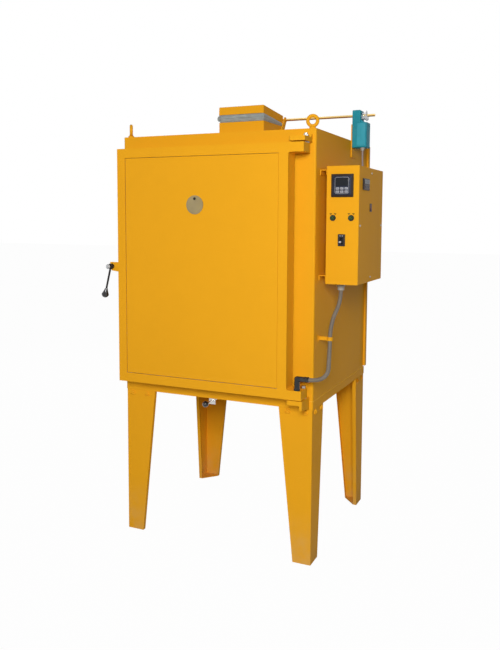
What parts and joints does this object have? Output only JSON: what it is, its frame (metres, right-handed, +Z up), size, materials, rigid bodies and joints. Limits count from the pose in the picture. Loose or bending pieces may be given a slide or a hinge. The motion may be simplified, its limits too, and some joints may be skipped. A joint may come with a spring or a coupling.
{
  "type": "electric kiln",
  "caption": "Tall yellow box kiln on folded legs, with a right-hinged insulated door, a latch lever, a side control box, a roof vent driven by an actuator, and lifting eyes.",
  "frame": {"origin": "on the floor, under the middle of the kiln's bounding box", "axes": "+Z up, +X to the right of someone who faces the door, and -Y out of the door"},
  "size_m": [1.1878, 0.9588, 2.0473],
  "materials": {
    "yellow_paint": "satin yellow-orange powder coat",
    "bare_steel": "dull stainless sheet",
    "zinc": "zinc-plated fasteners and rod",
    "rod_yellow": "yellow-passivated rod",
    "black_steel": "black painted steel",
    "firebrick": "soft porous brick",
    "fibre_board": "matt board",
    "gasket_fibre": "matt woven fibre",
    "porcelain": "fired, unglazed",
    "heater_wire": "oxidised grey wire",
    "shelf": "kiln-washed plate",
    "eye_paint": "forged, painted with the case",
    "actuator_plastic": "moulded, matt",
    "cable_grey": "grey jacket",
    "conduit_grey": "ribbed grey jacket",
    "black_plastic": "fine moulded texture",
    "control_face": "moulded bezel with a smooth front foil",
    "green_plastic": "dark green-black moulding",
    "red_plastic": "dark red rocker",
    "white_plastic": "moulded switchgear",
    "khaki_steel": "heat-dulled cover disc"
  },
  "bodies": {
    "cabinet": {"base_tray": "yellow_paint", "case_wrap": "yellow_paint", "rear_panel": "bare_steel", "rear_cover": "yellow_paint", "case_screws": "zinc", "legs": "yellow_paint", "lining_sides": "firebrick", "lining_rear": "firebrick", "lining_roof": "firebrick", "lining_floor": "firebrick", "backup_boards": "fibre_board", "wall_elements": "heater_wire", "tail_porcelains": "porcelain", "thermocouples": "porcelain", "hearth_plate": "shelf", "hearth_posts": "shelf", "lifting_eyes": "eye_paint", "vent_collar": "yellow_paint", "flue_tube": "firebrick", "vent_pad": "gasket_fibre", "actuator": "actuator_plastic", "side_brackets": "yellow_paint", "cable_glands": "black_plastic", "actuator_cable": "cable_grey", "control_box": "yellow_paint", "control_box_cover": "yellow_paint", "power_nipple": "zinc", "switchgear": "white_plastic", "controller": "control_face", "limit_controller": "control_face", "selector_bodies": "black_plastic", "breaker": "black_plastic", "rocker_frame": "black_plastic", "hinge_brackets": "yellow_paint", "hinge_pins": "zinc", "latch_keeper": "yellow_paint", "slide_guides": "bare_steel"},
    "door": {"door_frame": "yellow_paint", "door_panel": "yellow_paint", "door_board": "fibre_board", "door_plug": "firebrick", "door_gasket": "gasket_fibre", "element_door": "heater_wire", "peephole_tube": "porcelain", "peephole_screw": "zinc", "conduit_elbow": "black_plastic", "door_conduit": "conduit_grey"},
    "latch": {"latch_lever": "black_steel", "latch_knob": "black_plastic"},
    "peephole_flap": {"peephole_cover": "khaki_steel"},
    "lid": {"vent_lid": "yellow_paint", "vent_lid_board": "fibre_board", "vent_rod": "rod_yellow", "shaft_clamp": "zinc"},
    "selector_left_knob": {"selector_left": "green_plastic"},
    "selector_right_knob": {"selector_right": "green_plastic"},
    "toggle": {"breaker_toggle": "black_plastic"},
    "rocker_cap": {"rocker": "red_plastic"},
    "inlet": {"inlet_slide": "bare_steel", "inlet_knob": "black_plastic"}
  },
  "joints": [
    {"name": "door_hinge", "type": "hinge", "parent": "cabinet", "child": "door", "pos_m": [0.38051, -0.38405, 1.291], "axis": [0, 0, 1], "range_deg": [0, 95], "deforming": ["door_conduit"]},
    {"name": "latch_turn", "type": "hinge", "parent": "door", "child": "latch", "pos_m": [-0.54449, -0.44905, 1.291], "axis": [0, 1, 0], "range_deg": [0, 95]},
    {"name": "peephole_swing", "type": "hinge", "parent": "door", "child": "peephole_flap", "pos_m": [-0.10649, -0.45005, 1.6], "axis": [0, 1, 0], "range_deg": [-170, 170]},
    {"name": "lid_hinge", "type": "hinge", "parent": "cabinet", "child": "lid", "pos_m": [-0.06049, 0.18595, 2.008], "axis": [-1, 0, 0], "range_deg": [0, 80]},
    {"name": "selector_left_turn", "type": "hinge", "parent": "cabinet", "child": "selector_left_knob", "pos_m": [0.47601, -0.30405, 1.519], "axis": [0, 1, 0], "range_deg": [0, 90]},
    {"name": "selector_right_turn", "type": "hinge", "parent": "cabinet", "child": "selector_right_knob", "pos_m": [0.55501, -0.30405, 1.519], "axis": [0, 1, 0], "range_deg": [0, 90]},
    {"name": "breaker_throw", "type": "hinge", "parent": "cabinet", "child": "toggle", "pos_m": [0.51551, -0.30205, 1.422], "axis": [-1, 0, 0], "range_deg": [0, 32]},
    {"name": "rocker_tip", "type": "hinge", "parent": "cabinet", "child": "rocker_cap", "pos_m": [0.58651, -0.11905, 1.5645], "axis": [0, 1, 0], "range_deg": [0, 18]},
    {"name": "inlet_pull", "type": "slide", "parent": "cabinet", "child": "inlet", "axis": [0, -1, 0], "range_m": [0, 0.085]}
  ]
}
